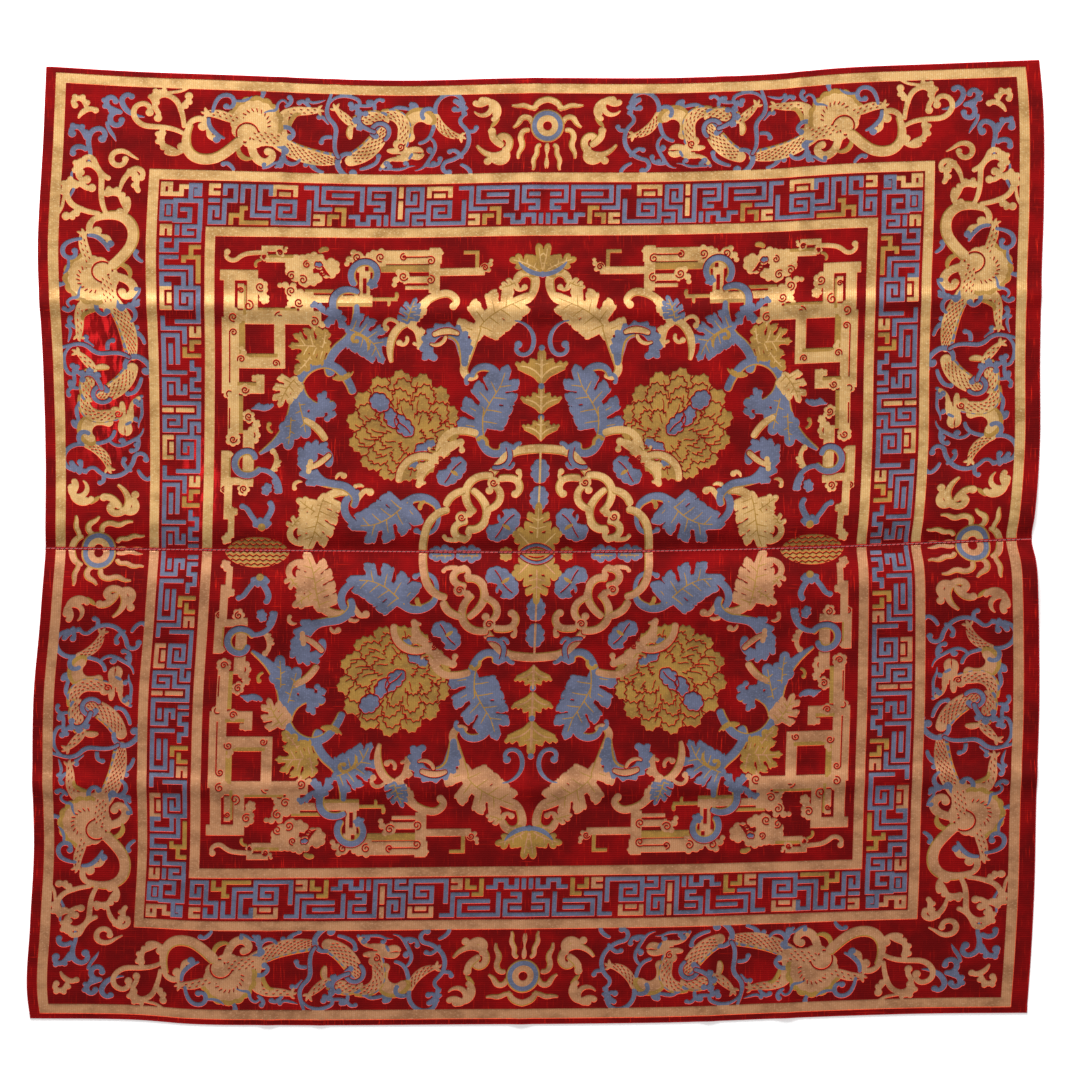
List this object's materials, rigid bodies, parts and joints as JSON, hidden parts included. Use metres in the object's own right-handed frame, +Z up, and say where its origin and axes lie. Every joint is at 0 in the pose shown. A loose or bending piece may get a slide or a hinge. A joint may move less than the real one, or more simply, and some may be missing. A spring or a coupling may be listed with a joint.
{
  "type": "cut velvet panel",
  "caption": "Square panel of crimson and gold figured silk velvet, joined across the middle and lying flat with its pile side up.",
  "frame": {"origin": "middle of the panel's box, at the level on which the panel lies", "axes": "+X to the panel's right, +Y to its top, +Z up out of its pile side"},
  "size_m": [1.3223, 1.2552, 0.0109],
  "materials": {
    "upper_velvet": "crimson silk cut pile with figures of gilt, blue and olive weft",
    "lower_velvet": "crimson silk cut pile with figures of gilt, blue and olive weft"
  },
  "bodies": {
    "root": {"upper_length": "upper_velvet", "lower_length": "lower_velvet"}
  },
  "joints": []
}
